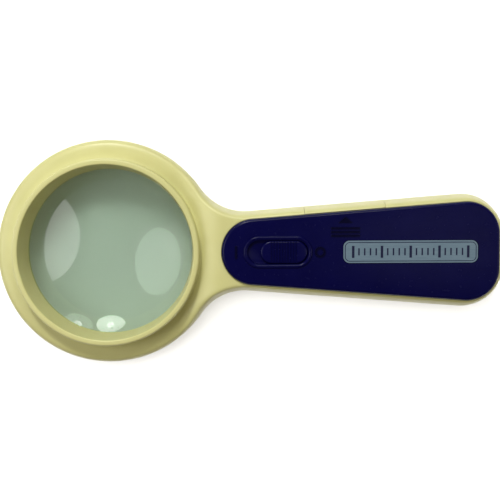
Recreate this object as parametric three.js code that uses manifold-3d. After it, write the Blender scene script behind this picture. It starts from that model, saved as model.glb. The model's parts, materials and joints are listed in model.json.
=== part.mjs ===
// Illuminated low vision magnifier. A biconvex lens sits in a round housing whose flat, tapering
// handle holds a slide switch, a circuit board, two lamps and a drawer with two coin cells.
// Millimetres. +X runs from the lens to the end of the handle, +Y points to the drawer's side and
// +Z up, out of the front. The origin is the middle of the footprint, on the surface it lies on.
import * as THREE from "three";
import { mergeVertices } from "three/addons/utils/BufferGeometryUtils.js";
import Module from "manifold-3d";

const wasm = await Module();
wasm.setup();

// ---- Driving dimensions ----

const LENGTH = 180;
const RING_RADIUS = 39.7;
const HALF_WIDTH = 14.3; // of the handle, abreast of the origin
const TAPER = 0.0775; // how much the half width grows for each mm along X
const NECK_RADIUS = 18.8; // concave fillets between ring and handle
const END_RADIUS = 14.6; // round corners of the handle's end

const PARTING_Z = 8.4; // where the front and rear housings meet, and where both are widest
const RING_TOP_Z = 13.0; // at the foot of the collar around the lens
const HANDLE_TOP_Z = 15.45;
const COVER_TOP_Z = 16.8;
const RIM_TOP_Z = 17.6;

const RAMP = { topX: -10.6, slope: 0.32 }; // the neck's rise from the collar to the handle

const LENS = { radius: 30, curvature: 130, edgeZ: [4.3, 5.9] };
const SEAT_RADIUS = 29.5; // clear opening in front of the lens and behind it
const SEAT_Z = [3.95, 6.25]; // inner edges of the two seats that hold the lens
const COLLAR = { mouth: 30.6, top: 32.6, foot: 32.9, skirt: 32.4, socket: 34.2 };

const WALL = 2.3;
const FLOOR_Z = 2.0; // inside face of the rear housing's back
const DECK = { under: 12.9, top: 14.7, fromX: -4 }; // the shelf in the front housing that carries the cover
const GAP = 0.15; // between parts that lie against each other
const TOUCH = 0.05; // between parts that are fastened or glued to each other
const ABOVE = 20; // a height over everything, where cuts that go right up end
const BELOW = -1; // a height under everything

const COVER = { inset: 2.8, endRadius: 11.4, leftX: -10 };
const PLATE = { x: 55.9, length: 46.8, width: 7.8, radius: 2.2, thickness: 0.3 };
const DISH = { x: 9.7, length: 21.3, width: 8.4, floorZ: 15.8, beadWidth: 1.45, beadTopZ: 17.3 };

const ARROW = { x: 33.2, y: 10.2, width: 4.8, height: 2.1 };
const BARS = { y: [8.3, 7.0, 5.7], length: 10, width: 0.7 }; // under the arrow
const SWITCH_MARKS = { onX: -4.9, offX: 24.4, length: 4.4, width: 0.8, radius: 1.9 };
const MARK_Z = [16.6, 17.1]; // raised marks, from inside the cover to their tops

const TRAVEL = 4.2; // of the switch
const KNOB = {
  x: DISH.x + TRAVEL / 2,
  length: 16.4,
  width: 7.9,
  ribs: 9,
  pitch: 0.95,
  grooveWidth: 0.44,
  grooveZ: 16.95,
};
const STEM = { length: 4.0, width: 2.8, topZ: 16.6, play: 0.35 };
const CAN = { length: 13.4, width: 6.8, bottomZ: 6.5, topZ: 12.1, sheet: 0.4 };

const BOARD = { x: [-8, 18], halfWidth: 9.5, z: [5.2, 6.4] };
const BOARD_SCREWS = [[-4.5, 0], [15, 7]];
const BOARD_POST = { radius: 2, pilot: 0.9, stopX: 14.5, stopY: -5, stopRadius: 1.2 };
const HOUSING_SCREWS = [[-13.5, 12.2], [-13.5, -12.2], [80, 11.5], [80, -11.5]];
const BOSS = { radius: 3.2, hole: 1.5, headHole: 2.5, headZ: 4, socket: 2.6, pilot: 1.35 };
const NECK_CEILING_Z = 9.6; // inside face of the front housing around the neck and ring
const COVER_PINS = [[-5, 0], [60, 12], [60, -12], [82, 0]];
const PIN = { radius: 1.2, hole: 1.35 };

const DRAWER = {
  x: [19, 47.4], // of the opening in the side
  trayX: [21.1, 45.3],
  trayBackY: -9.4,
  bottomZ: 3.1,
  cupZ: 4.05,
  trayTopZ: 10.3,
};
const CELL = { radius: 10, height: 3.2, x: 33.2, y: 2.0, z: [4.15, 7.45] };
const RAIL = { thickness: 1, play: 0.2, y: [-9, 12] }; // the drawer's guides
const NAIL_GROOVE = { length: 12, y: 16.3, z: [4.4, 5.6] };
const STRAP = { width: 4, thickness: 0.3 }; // the battery contacts
const LAMP = { radius: 1.5, flange: 1.9, angle: 0.2, tipR: 30.7, flangeR: 34.6, z: 4.15, tilt: 0.14 };
const LEAD = { radius: 0.25, offset: 1.27 };
const WIRE_RADIUS = 0.6;

const ROUND_SIDES = 60; // of everything that is centred on the lens
const ring = new THREE.Vector2(RING_RADIUS - LENGTH / 2, 0);
const taperAngle = Math.atan(TAPER);
const sideAngle = Math.PI / 2 + taperAngle; // which way the handle's +Y side faces
const along = new THREE.Vector2(Math.cos(taperAngle), Math.sin(taperAngle));
const sideways = new THREE.Vector2(Math.cos(sideAngle), Math.sin(sideAngle));

// ---- Solids ----

function toSolid(geometry) {
  const bare = new THREE.BufferGeometry();
  bare.setAttribute("position", geometry.getAttribute("position").clone());
  bare.setIndex(geometry.index);
  const merged = mergeVertices(bare, 1e-4);
  const vertProperties = merged.attributes.position.array;
  const triVerts = new Uint32Array(merged.index.array);
  return new wasm.Manifold(new wasm.Mesh({ numProp: 3, vertProperties, triVerts }));
}

function toGeometry(solid) {
  const mesh = solid.getMesh();
  const geometry = new THREE.BufferGeometry();
  geometry.setAttribute("position", new THREE.BufferAttribute(mesh.vertProperties, 3));
  geometry.setIndex(new THREE.BufferAttribute(mesh.triVerts, 1));
  geometry.computeVertexNormals();
  return geometry;
}

// The closed body through a stack of outlines, which all have equally many points.
function stack(outlines, heights) {
  const count = outlines[0].length;
  const positions = outlines.flatMap((outline, i) => outline.flatMap((p) => [p.x, p.y, heights[i]]));
  const faces = [];
  for (let layer = 0; layer < outlines.length - 1; layer++) {
    for (let i = 0; i < count; i++) {
      const a = layer * count + i;
      const b = layer * count + ((i + 1) % count);
      faces.push(a, b, b + count, a, b + count, a + count);
    }
  }
  const last = (outlines.length - 1) * count;
  for (const [a, b, c] of THREE.ShapeUtils.triangulateShape(outlines[0], [])) {
    faces.push(c, b, a);
  }
  for (const [a, b, c] of THREE.ShapeUtils.triangulateShape(outlines.at(-1), [])) {
    faces.push(a + last, b + last, c + last);
  }
  const geometry = new THREE.BufferGeometry();
  geometry.setAttribute("position", new THREE.Float32BufferAttribute(positions, 3));
  geometry.setIndex(faces);
  return toSolid(geometry);
}

// A body with the outline that outlineAt(inset) gives at each [inset, height] of the profile.
function loft(outlineAt, profile) {
  return stack(profile.map(([inset]) => outlineAt(inset)), profile.map(([, z]) => z));
}

function prism(outline, z0, z1) {
  return stack([outline, outline], [z0, z1]);
}

function box(x0, x1, y0, y1, z0, z1) {
  const geometry = new THREE.BoxGeometry(x1 - x0, y1 - y0, z1 - z0);
  return toSolid(geometry.translate((x0 + x1) / 2, (y0 + y1) / 2, (z0 + z1) / 2));
}

function cylinder(radius, z0, z1, x = 0, y = 0, sides = 20, topRadius = radius) {
  const geometry = new THREE.CylinderGeometry(topRadius, radius, z1 - z0, sides);
  return toSolid(geometry.rotateX(Math.PI / 2).translate(x, y, (z0 + z1) / 2));
}

function ringCylinder(radius, z0, z1, topRadius = radius) {
  return cylinder(radius, z0, z1, ring.x, 0, ROUND_SIDES, topRadius);
}

// A round body about +Z, from [radius, z] points that run anticlockwise seen from +Y.
function turned(points, sides, x = 0) {
  const profile = points.map(([r, z]) => new THREE.Vector2(r, z));
  return toSolid(new THREE.LatheGeometry(profile, sides).rotateX(Math.PI / 2).translate(x, 0, 0));
}

// A band of sheet metal that follows [y, z] points, with its width centred on x.
function bentStrip(path, x, { width, thickness }) {
  const points = path.map(([y, z]) => new THREE.Vector2(y, z));
  const normals = points.map((point, i) => {
    const before = points[Math.max(i - 1, 0)];
    const after = points[Math.min(i + 1, points.length - 1)];
    const run = after.clone().sub(before).normalize();
    return new THREE.Vector2(-run.y, run.x).multiplyScalar(thickness / 2);
  });
  const left = points.map((point, i) => point.clone().add(normals[i]));
  const right = points.map((point, i) => point.clone().sub(normals[i]));
  const solid = prism([...right, ...left.reverse()], x - width / 2, x + width / 2);
  const geometry = toGeometry(solid);
  const yzAlongX = new THREE.Matrix4().makeBasis(
    new THREE.Vector3(0, 1, 0),
    new THREE.Vector3(0, 0, 1),
    new THREE.Vector3(1, 0, 0),
  );
  return geometry.applyMatrix4(yzAlongX);
}

// A wire along a smooth curve through points.
function wire(points, radius, steps) {
  const path = new THREE.CatmullRomCurve3(points.map((p) => new THREE.Vector3(...p)));
  const section = new THREE.Shape(arc(new THREE.Vector2(), radius, 0, Math.PI * 1.75, 7));
  return new THREE.ExtrudeGeometry(section, { steps, extrudePath: path });
}

// ---- Outlines ----

function arc(centre, radius, from, to, steps) {
  return Array.from({ length: steps + 1 }, (_, i) => {
    const angle = from + ((to - from) * i) / steps;
    return new THREE.Vector2(radius, 0).rotateAround(new THREE.Vector2(), angle).add(centre);
  });
}

// Adds the -Y half to the +Y half of an outline, which ends on the X axis.
function mirrored(half) {
  const other = half.slice(0, -1).reverse().map((p) => new THREE.Vector2(p.x, -p.y));
  return [...half, ...other];
}

// Centre of a round corner of this radius between a side line and the handle's end.
function cornerCentre(halfWidth, endX, radius) {
  const x = endX - radius;
  return new THREE.Vector2(x, halfWidth + TAPER * x - radius / Math.cos(taperAngle));
}

// Centre of the fillet that touches the ring and the handle's +Y side.
function neckCentre() {
  const foot = sideways.clone().multiplyScalar(HALF_WIDTH * along.x + NECK_RADIUS);
  const fromRing = foot.clone().sub(ring);
  const b = fromRing.dot(along);
  const c = fromRing.lengthSq() - (RING_RADIUS + NECK_RADIUS) ** 2;
  return foot.add(along.clone().multiplyScalar(-b + Math.sqrt(b * b - c)));
}

const neck = neckCentre();
const neckAngle = neck.clone().sub(ring).angle();
const bodyCorner = cornerCentre(HALF_WIDTH, LENGTH / 2, END_RADIUS);

function bodyOutline(inset) {
  return mirrored([
    ...arc(bodyCorner, END_RADIUS - inset, 0, sideAngle, 7),
    ...arc(neck, NECK_RADIUS + inset, sideAngle + Math.PI, neckAngle + Math.PI, 7),
    ...arc(ring, RING_RADIUS - inset, neckAngle, Math.PI, 22),
  ]);
}

const coverHalfWidth = HALF_WIDTH - COVER.inset / Math.cos(taperAngle);
const coverCorner = cornerCentre(coverHalfWidth, LENGTH / 2 - COVER.inset, COVER.endRadius);
const coverLeftRadius =
  ((coverHalfWidth + TAPER * COVER.leftX) * along.x) / (1 - TAPER * along.x);

function coverOutline(inset) {
  const left = new THREE.Vector2(COVER.leftX + coverLeftRadius, 0);
  return mirrored([
    ...arc(coverCorner, COVER.endRadius - inset, 0, sideAngle, 8),
    ...arc(left, coverLeftRadius - inset, sideAngle, Math.PI, 10),
  ]);
}

function roundedRectangle(x, length, width, radius, steps) {
  const corner = new THREE.Vector2(x + length / 2 - radius, width / 2 - radius);
  const right = arc(corner, radius, 0, Math.PI / 2, steps);
  const left = right.map((p) => new THREE.Vector2(2 * x - p.x, p.y)).reverse();
  const upper = [...right, ...left];
  return [...upper, ...upper.map((p) => new THREE.Vector2(p.x, -p.y)).reverse()];
}

function stadium(x, length, width, steps = 10) {
  const centre = new THREE.Vector2(x + (length - width) / 2, 0);
  const right = arc(centre, width / 2, -Math.PI / 2, Math.PI / 2, steps);
  return [...right, ...right.map((p) => new THREE.Vector2(2 * x - p.x, -p.y))];
}

// ---- Housings ----

const ringProfile = [
  [0, PARTING_Z],
  [0.15, 9.4],
  [0.6, 10.35],
  [1.5, 11],
  [3.8, 11.4],
  [5.0, 11.55],
  [6.0, 12.0],
  [RING_RADIUS - COLLAR.foot + 0.5, RING_TOP_Z], // ends inside the collar's wall
];
const handleProfile = [
  [0, PARTING_Z],
  [0.45, 10.6],
  [1.0, 12.6],
  [1.7, 14.3],
  [2.5, 15.25],
  [3.4, HANDLE_TOP_Z],
];
const rearProfile = [
  [3.6, 0],
  [2.3, 0.5],
  [1.2, 1.7],
  [0.5, 3.9],
  [0, PARTING_Z - GAP],
];

// The neck's slope, from the collar up to the handle's top.
function belowRamp() {
  const farX = -50;
  const farZ = HANDLE_TOP_Z - (RAMP.topX - farX) * RAMP.slope;
  const outline = [
    [farX, 1],
    [LENGTH, 1],
    [LENGTH, ABOVE],
    [RAMP.topX, ABOVE],
    [RAMP.topX, HANDLE_TOP_Z],
    [farX, farZ],
  ];
  const points = outline.map(([x, z]) => new THREE.Vector2(x, -z));
  const lying = toGeometry(prism(points.reverse(), -RING_RADIUS, RING_RADIUS));
  return toSolid(lying.rotateX(-Math.PI / 2));
}

function frontOuter() {
  return loft(bodyOutline, ringProfile).add(loft(bodyOutline, handleProfile).intersect(belowRamp()));
}

// The tube around the lens, from its foot in the front housing up to the rim.
function collar() {
  const bottom = LENS.edgeZ[1] + GAP;
  const profile = [
    [SEAT_RADIUS, SEAT_Z[1]],
    [LENS.radius, bottom],
    [COLLAR.skirt, bottom],
    [COLLAR.skirt, PARTING_Z],
    [COLLAR.foot, PARTING_Z + 0.6],
    [COLLAR.foot, RING_TOP_Z],
    [COLLAR.top + 0.1, RIM_TOP_Z - 0.9],
    [COLLAR.top - 0.25, RIM_TOP_Z - 0.25],
    [COLLAR.top - 0.8, RIM_TOP_Z],
    [COLLAR.mouth + 0.6, RIM_TOP_Z],
    [COLLAR.mouth + 0.1, RIM_TOP_Z - 0.4],
    [COLLAR.mouth - 0.1, RIM_TOP_Z - 1],
    [SEAT_RADIUS, SEAT_Z[1]],
  ];
  return turned(profile, ROUND_SIDES, ring.x);
}

// The strip of wall between two insets, where the drawer's face takes the housing's place.
function drawerOpening(outerInset, innerInset, margin, z0, z1) {
  const band = prism(bodyOutline(outerInset), z0, z1).subtract(
    prism(bodyOutline(innerInset), z0 - 1, z1 + 1),
  );
  const [x0, x1] = DRAWER.x;
  return band.intersect(box(x0 + margin, x1 - margin, 0, RING_RADIUS, z0 - 1, z1 + 1));
}

function stemSlot(z0, z1, clearance) {
  const half = (STEM.length + TRAVEL) / 2 + clearance;
  const halfWidth = STEM.width / 2 + clearance;
  return box(DISH.x - half, DISH.x + half, -halfWidth, halfWidth, z0, z1);
}

function frontHousing() {
  const low = PARTING_Z - 0.1;
  const shallow = prism(bodyOutline(WALL), low, NECK_CEILING_Z);
  const deep = prism(bodyOutline(WALL + 0.1), low, DECK.under).intersect(
    box(DECK.fromX, LENGTH / 2, -RING_RADIUS, RING_RADIUS, 0, ABOVE),
  );
  let housing = frontOuter()
    .subtract(ringCylinder(COLLAR.skirt, 0, ABOVE))
    .add(collar())
    .subtract(prism(coverOutline(-GAP), DECK.top, ABOVE))
    .subtract(shallow.subtract(ringCylinder(COLLAR.socket, 0, ABOVE)))
    .subtract(deep);
  for (const [x, y] of HOUSING_SCREWS) {
    const ceiling = x < DECK.fromX ? NECK_CEILING_Z : DECK.under;
    housing = housing.add(cylinder(BOSS.socket, PARTING_Z, ceiling + 0.1, x, y));
    housing = housing.subtract(cylinder(BOSS.pilot, low, ceiling + 0.9, x, y, 12));
  }
  for (const [x, y] of COVER_PINS) {
    housing = housing.subtract(cylinder(PIN.hole, DECK.under - 0.2, ABOVE, x, y, 12));
  }
  return housing
    .subtract(stemSlot(DECK.under - 1, ABOVE, STEM.play))
    .subtract(drawerOpening(-1, COVER.inset - 0.1, 0, low, ABOVE));
}

function lampMatrix(turn) {
  const group = new THREE.Object3D();
  group.position.set(ring.x, 0, 0);
  group.rotation.z = turn;
  const lamp = new THREE.Object3D();
  lamp.position.set(LAMP.flangeR, 0, LAMP.z);
  lamp.rotation.y = -Math.PI / 2 - LAMP.tilt;
  group.add(lamp);
  group.updateMatrixWorld(true);
  return lamp.matrixWorld.clone();
}

// The round way through the rear housing: a flare, the lens's seat, and room for its edge and the collar.
function rearBore() {
  const edgeRadius = LENS.radius + 0.35;
  return ringCylinder(COLLAR.mouth + 0.1, -0.2, SEAT_Z[0], SEAT_RADIUS)
    .add(ringCylinder(SEAT_RADIUS, SEAT_Z[0] - 0.1, SEAT_Z[0] + 0.1))
    .add(ringCylinder(SEAT_RADIUS, SEAT_Z[0], LENS.edgeZ[0], edgeRadius))
    .add(ringCylinder(edgeRadius, LENS.edgeZ[0] - 0.01, ABOVE))
    .add(ringCylinder(COLLAR.skirt + GAP, LENS.edgeZ[1], ABOVE));
}

function lampHole(turn) {
  const radius = LAMP.radius + 0.2;
  const reach = 9;
  const hole = new THREE.CylinderGeometry(radius, radius, reach, 16);
  hole.rotateX(Math.PI / 2).translate(0, 0, reach / 2 - 0.3);
  return toSolid(hole.applyMatrix4(lampMatrix(turn)));
}

function rearHousing() {
  const high = PARTING_Z + 0.1;
  const inFloor = FLOOR_Z - 0.1;
  const boardZ = BOARD.z[0] - TOUCH;
  const cavityProfile = [[3.5, FLOOR_Z], [2.8, 3.9], [WALL, 6], [WALL, high]];
  const cavity = loft(bodyOutline, cavityProfile);
  let housing = loft(bodyOutline, rearProfile).subtract(
    cavity.subtract(ringCylinder(COLLAR.socket, 0, ABOVE)),
  );
  const { thickness, play, y: railY } = RAIL;
  for (const x of [DRAWER.trayX[0] - play - thickness, DRAWER.trayX[1] + play]) {
    housing = housing.add(box(x, x + thickness, ...railY, inFloor, PARTING_Z - 0.2));
  }
  for (const [x, y] of HOUSING_SCREWS) {
    housing = housing
      .add(cylinder(BOSS.radius, 0.5, PARTING_Z - GAP, x, y))
      .subtract(cylinder(BOSS.hole, 0, ABOVE, x, y, 12))
      .subtract(cylinder(BOSS.headHole, BELOW, BOSS.headZ, x, y, 16));
  }
  for (const [x, y] of BOARD_SCREWS) {
    housing = housing
      .add(cylinder(BOARD_POST.radius, inFloor, boardZ, x, y, 12))
      .subtract(cylinder(BOARD_POST.pilot, FLOOR_Z + 0.4, ABOVE, x, y, 10));
  }
  const { stopX, stopY, stopRadius } = BOARD_POST;
  housing = housing.add(cylinder(stopRadius, inFloor, boardZ, stopX, stopY, 10)).subtract(rearBore());
  for (const turn of [LAMP.angle, -LAMP.angle]) {
    housing = housing.subtract(lampHole(turn));
  }
  return housing.subtract(drawerOpening(-1, 4, 0, DRAWER.bottomZ - GAP, high));
}

// ---- Lens ----

function lens() {
  const [z0, z1] = LENS.edgeZ;
  const steps = 6;
  const sag = (r) => Math.sqrt(LENS.curvature ** 2 - r * r) - LENS.curvature;
  const edgeSag = sag(LENS.radius);
  const radii = Array.from({ length: steps + 1 }, (_, i) => (LENS.radius * i) / steps);
  const rear = radii.map((r) => [r, z0 + edgeSag - sag(r)]);
  const front = radii.map((r) => [r, z1 - edgeSag + sag(r)]).reverse();
  return turned([...rear, ...front], 48);
}

// ---- Cover, plate and switch ----

// An arrow and three bars over the drawer, and an upright stroke and a round mark beside the switch.
function coverMarks() {
  const { x, y, width, height } = ARROW;
  const arrow = [[x - width / 2, y], [x + width / 2, y], [x, y + height]];
  const { onX, offX, length, width: stroke, radius } = SWITCH_MARKS;
  const round = cylinder(radius, ...MARK_Z, offX).subtract(cylinder(radius - stroke, 0, ABOVE, offX));
  let marks = prism(arrow.map((p) => new THREE.Vector2(...p)), ...MARK_Z);
  for (const middle of BARS.y) {
    const [y0, y1] = [middle - BARS.width / 2, middle + BARS.width / 2];
    marks = marks.add(box(x - BARS.length / 2, x + BARS.length / 2, y0, y1, ...MARK_Z));
  }
  return marks
    .add(box(onX - stroke / 2, onX + stroke / 2, -length / 2, length / 2, ...MARK_Z))
    .add(round);
}

function handleCover() {
  const edge = [[0, DECK.top + TOUCH], [0, 15.7], [0.34, 16.46], [1.1, COVER_TOP_Z]];
  const bead = (inset) => {
    const grow = 2 * (DISH.beadWidth - inset);
    return stadium(DISH.x, DISH.length + grow, DISH.width + grow);
  };
  const play = 0.2; // around the plate
  const recess = roundedRectangle(
    PLATE.x,
    PLATE.length + 2 * play,
    PLATE.width + 2 * play,
    PLATE.radius + play,
    4,
  );
  let cover = loft(coverOutline, edge)
    .add(loft(bead, [[0, 16], [0.1, 17], [0.5, DISH.beadTopZ], [1, DISH.beadTopZ]]))
    .add(coverMarks())
    .subtract(prism(stadium(DISH.x, DISH.length, DISH.width), DISH.floorZ, ABOVE))
    .subtract(prism(recess, COVER_TOP_Z - PLATE.thickness, ABOVE))
    .subtract(stemSlot(0, ABOVE, STEM.play));
  for (const [x, y] of COVER_PINS) {
    cover = cover.add(cylinder(PIN.radius, DECK.under, DECK.top + 0.2, x, y, 12));
  }
  return cover;
}

function namePlate() {
  const { x, length, width, radius, thickness } = PLATE;
  const z = COVER_TOP_Z - thickness + TOUCH;
  return prism(roundedRectangle(x, length, width, radius, 4), z, z + thickness);
}

function switchKnob() {
  const { x, length, width, ribs, pitch, grooveWidth, grooveZ } = KNOB;
  const outline = (inset) => stadium(x, length - 2 * inset, width - 2 * inset);
  const profile = [[0, DISH.floorZ + GAP], [0, 16.7], [0.25, 17.05], [0.8, 17.25]];
  const halfLength = STEM.length / 2 + 0.1;
  const halfWidth = STEM.width / 2 + 0.1;
  const socket = box(x - halfLength, x + halfLength, -halfWidth, halfWidth, 0, STEM.topZ + 0.1);
  let knob = loft(outline, profile).subtract(socket);
  for (let i = 0; i <= ribs; i++) {
    const left = x + (i - ribs / 2) * pitch - grooveWidth / 2;
    knob = knob.subtract(box(left, left + grooveWidth, -width, width, grooveZ, ABOVE));
  }
  return knob;
}

function switchLever() {
  const { x } = KNOB;
  const halfLength = STEM.length / 2;
  const halfWidth = STEM.width / 2;
  const stem = box(x - halfLength, x + halfLength, -halfWidth, halfWidth, 11, STEM.topZ);
  return stem.add(box(x - 3.8, x + 3.8, -2.6, 2.6, 10.3, 11.5));
}

// A bridge over two legs, which join two neighbouring terminals.
function switchWiper() {
  const halfWidth = 1.2;
  let wiper = box(KNOB.x - 3.2, KNOB.x + 3.2, -halfWidth, halfWidth, 9.8, 10.1);
  for (const x of [KNOB.x - 3, KNOB.x + 3]) {
    wiper = wiper.add(box(x - 0.2, x + 0.2, -halfWidth, halfWidth, 7.9, 10));
  }
  return wiper;
}

function switchCan() {
  const { bottomZ, topZ, sheet } = CAN;
  const shell = (inset, z0, z1) => {
    const halfLength = CAN.length / 2 - inset;
    const halfWidth = CAN.width / 2 - inset;
    return box(DISH.x - halfLength, DISH.x + halfLength, -halfWidth, halfWidth, z0, z1);
  };
  return shell(0, bottomZ, topZ)
    .subtract(shell(sheet, 0, topZ - sheet))
    .subtract(stemSlot(0, ABOVE, 0.3));
}

const terminalXs = [-4, 0, 4].map((offset) => DISH.x + offset);

function terminalSlots() {
  const [first, ...others] = terminalXs.map((x) => box(x - 0.6, x + 0.6, -0.4, 0.4, 0, ABOVE));
  return others.reduce((slots, slot) => slots.add(slot), first);
}

function switchBase() {
  const halfLength = CAN.length / 2 - CAN.sheet - 0.1;
  const halfWidth = CAN.width / 2 - CAN.sheet - 0.1;
  const base = box(DISH.x - halfLength, DISH.x + halfLength, -halfWidth, halfWidth, 6.55, 7.4);
  return base.subtract(terminalSlots());
}

function switchTerminal(x) {
  return box(x - 0.45, x + 0.45, -0.2, 0.2, 4.2, 7.5).add(box(x - 1.2, x + 1.2, -1.2, 1.2, 7.5, 7.7));
}

// ---- Circuit board and lamps ----

function circuitBoard() {
  const [x0, x1] = BOARD.x;
  const outline = roundedRectangle((x0 + x1) / 2, x1 - x0, 2 * BOARD.halfWidth, 1.2, 3);
  let board = prism(outline, ...BOARD.z);
  for (const [x, y] of BOARD_SCREWS) {
    board = board.subtract(cylinder(1.15, 0, ABOVE, x, y, 12));
  }
  return board.subtract(terminalSlots());
}

// A lamp's own frame has its flange at z 0 and its dome towards +Z.
function lampBody() {
  const length = LAMP.flangeR - LAMP.tipR;
  const shoulder = length - LAMP.radius;
  const dome = arc(new THREE.Vector2(0, shoulder), LAMP.radius, 0, Math.PI / 2, 4).map((p) => [p.x, p.y]);
  dome[dome.length - 1][0] = 0;
  return turned([[0, -1], [LAMP.flange, -1], [LAMP.flange, 0], [LAMP.radius, 0], ...dome], 16);
}

// The lead that leaves a lamp this far to the side of its middle line.
function lampLead(turn, offset) {
  const start = new THREE.Vector3(0, offset, -1.35).applyMatrix4(lampMatrix(turn));
  const away = new THREE.Vector3(0, offset, -2.6).applyMatrix4(lampMatrix(turn));
  const pad = new THREE.Vector3(-6.3, Math.sign(turn) * 7 + offset, BOARD.z[1] + 0.35);
  const lift = new THREE.Vector3(-9.6, pad.y, pad.z);
  return wire([start.toArray(), away.toArray(), lift.toArray(), pad.toArray()], LEAD.radius, 8);
}

// ---- Battery drawer ----

function batteryDrawer() {
  const [x0, x1] = DRAWER.trayX;
  const { bottomZ, trayBackY, trayTopZ } = DRAWER;
  const cup = cylinder(CELL.radius + 0.25, DRAWER.cupZ, ABOVE, CELL.x, CELL.y, 36);
  const springSlot = box(CELL.x - 4.2, CELL.x + 4.2, trayBackY - 1, 8.5, 0, DRAWER.cupZ + 0.25);
  const tray = box(x0, x1, trayBackY, RING_RADIUS, bottomZ, trayTopZ)
    .intersect(prism(bodyOutline(1.4), 0, ABOVE))
    .subtract(cup)
    .subtract(springSlot);
  const lip = drawerOpening(0, COVER.inset + 1, GAP, DECK.under, HANDLE_TOP_Z);
  const face = drawerOpening(0, WALL, GAP, bottomZ, HANDLE_TOP_Z)
    .add(lip.subtract(prism(bodyOutline(COVER.inset - 0.25), 0, ABOVE)))
    .intersect(frontOuter().add(loft(bodyOutline, rearProfile)));
  const { length, y, z } = NAIL_GROOVE;
  const groove = box(CELL.x - length / 2, CELL.x + length / 2, y, RING_RADIUS, ...z);
  return tray.add(face).subtract(groove);
}

function cellCan(z) {
  const { radius, height } = CELL;
  return turned(
    [
      [0, z + 0.35],
      [9.2, z + 0.35],
      [9.2, z + 0.05],
      [radius - 0.3, z + 0.05],
      [radius, z + 0.4],
      [radius, z + height - 0.25],
      [radius - 0.25, z + height],
      [0, z + height],
    ],
    30,
  );
}

function cellCap(z) {
  return turned([[0, z], [8.1, z], [8.5, z + 0.25], [0, z + 0.25]], 30);
}

function cellGasket(z) {
  const [inner, outer] = [8.65, 9.05];
  const [low, high] = [z + 0.06, z + 0.28];
  return turned([[inner, low], [outer, low], [outer, high], [inner, high], [inner, low]], 30);
}

function contactNegative() {
  const path = [[-12.9, 6.2], [-12.9, 2.7], [-12.5, 2.3], [-5, 2.3], [-0.5, 3.65], [1.2, 3.65], [4, 2.9]];
  return bentStrip(path, CELL.x, STRAP);
}

function contactPositive() {
  const path = [[-12.9, 8.6], [-12.9, 12.2], [-12.5, 12.6], [-4, 12.6], [0.5, 11.1], [2.2, 11.1], [5, 12]];
  return bentStrip(path, CELL.x, STRAP);
}

const positiveRoute = [
  [30.95, -12.9, 9.4],
  [27.8, -12.8, 9.4],
  [24.6, -12.4, 9.2],
  [21.5, -11.7, 8.8],
  [18.5, -10.3, 8.4],
  [16.2, -8.5, 8.1],
  [15.1, -7.6, 7.6],
  [14.9, -7.4, 7.0],
];
const negativeRoute = [
  [30.95, -12.9, 5.4],
  [27.4, -12.7, 5.2],
  [24.2, -12.1, 4.9],
  [21.3, -11.8, 5.0],
  [18.6, -11.4, 5.9],
  [15.6, -10.8, 7.6],
  [12.8, -9.3, 8.2],
  [11.4, -8.1, 7.7],
  [11.1, -7.8, 7.0],
];

// ---- Screws ----

function screw(headRadius, headHeight, shankRadius, length) {
  const slot = box(-headRadius * 0.6, headRadius * 0.6, -0.25, 0.25, -headHeight - 1, -headHeight * 0.5);
  const body = turned(
    [
      [0, -headHeight],
      [headRadius * 0.7, -headHeight],
      [headRadius, -headHeight * 0.55],
      [headRadius, 0],
      [shankRadius, 0],
      [shankRadius, length - shankRadius],
      [0, length],
    ],
    14,
  );
  return body.subtract(slot).subtract(toSolid(toGeometry(slot).rotateZ(Math.PI / 2)));
}

// ---- Materials and assembly ----

function material(color, roughness, metalness = 0, opacity = 1) {
  return new THREE.MeshStandardMaterial({ color, roughness, metalness, opacity, transparent: opacity < 1 });
}

const ivory = material(0xe4dfa6, 0.45);
const navy = material(0x0c0b3c, 0.35);
const silver = material(0x7f949e, 0.4, 0.5);
const clear = material(0xe8f0ea, 0.05, 0, 0.3);
const steel = material(0xb9bcc0, 0.3, 1);
const brass = material(0xc9a55a, 0.35, 1);
const black = material(0x161616, 0.5);
const green = material(0x1d5a34, 0.5);
const epoxy = material(0xf3f6f8, 0.1, 0, 0.6);
const brown = material(0x5a3a1e, 0.6);
const red = material(0xb01c1c, 0.5);

const magnifier = new THREE.Group();

function add(name, shape, look, parent = magnifier) {
  const geometry = shape.isBufferGeometry ? shape : toGeometry(shape);
  const mesh = new THREE.Mesh(geometry, look);
  mesh.name = name;
  parent.add(mesh);
  return mesh;
}

add("front_housing", frontHousing(), ivory);
add("rear_housing", rearHousing(), ivory);
add("lens", lens(), clear).position.x = ring.x;
add("handle_cover", handleCover(), navy);
add("name_plate", namePlate(), silver);

add("switch_knob", switchKnob(), navy);
add("switch_lever", switchLever(), black);
add("switch_wiper", switchWiper(), brass);
add("switch_can", switchCan(), steel);
add("switch_base", switchBase(), brown);
terminalXs.forEach((x, i) => add(`switch_terminal_${i + 1}`, switchTerminal(x), brass));

add("circuit_board", circuitBoard(), green);
add("resistor", box(6.4, 9.6, -7.3, -5.7, BOARD.z[1] + TOUCH, 7.1), black);
BOARD_SCREWS.forEach(([x, y], i) => {
  const mesh = add(`board_screw_${i + 1}`, screw(1.8, 1.3, 0.75, 3.6), steel);
  mesh.rotation.x = Math.PI;
  mesh.position.set(x, y, BOARD.z[1] + TOUCH);
});

[LAMP.angle, -LAMP.angle].forEach((turn, i) => {
  const lamp = add(`lamp_${i + 1}`, lampBody(), epoxy);
  lampMatrix(turn).decompose(lamp.position, lamp.quaternion, lamp.scale);
  add(`lamp_${i + 1}_anode`, lampLead(turn, LEAD.offset), steel);
  add(`lamp_${i + 1}_cathode`, lampLead(turn, -LEAD.offset), steel);
});

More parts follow.
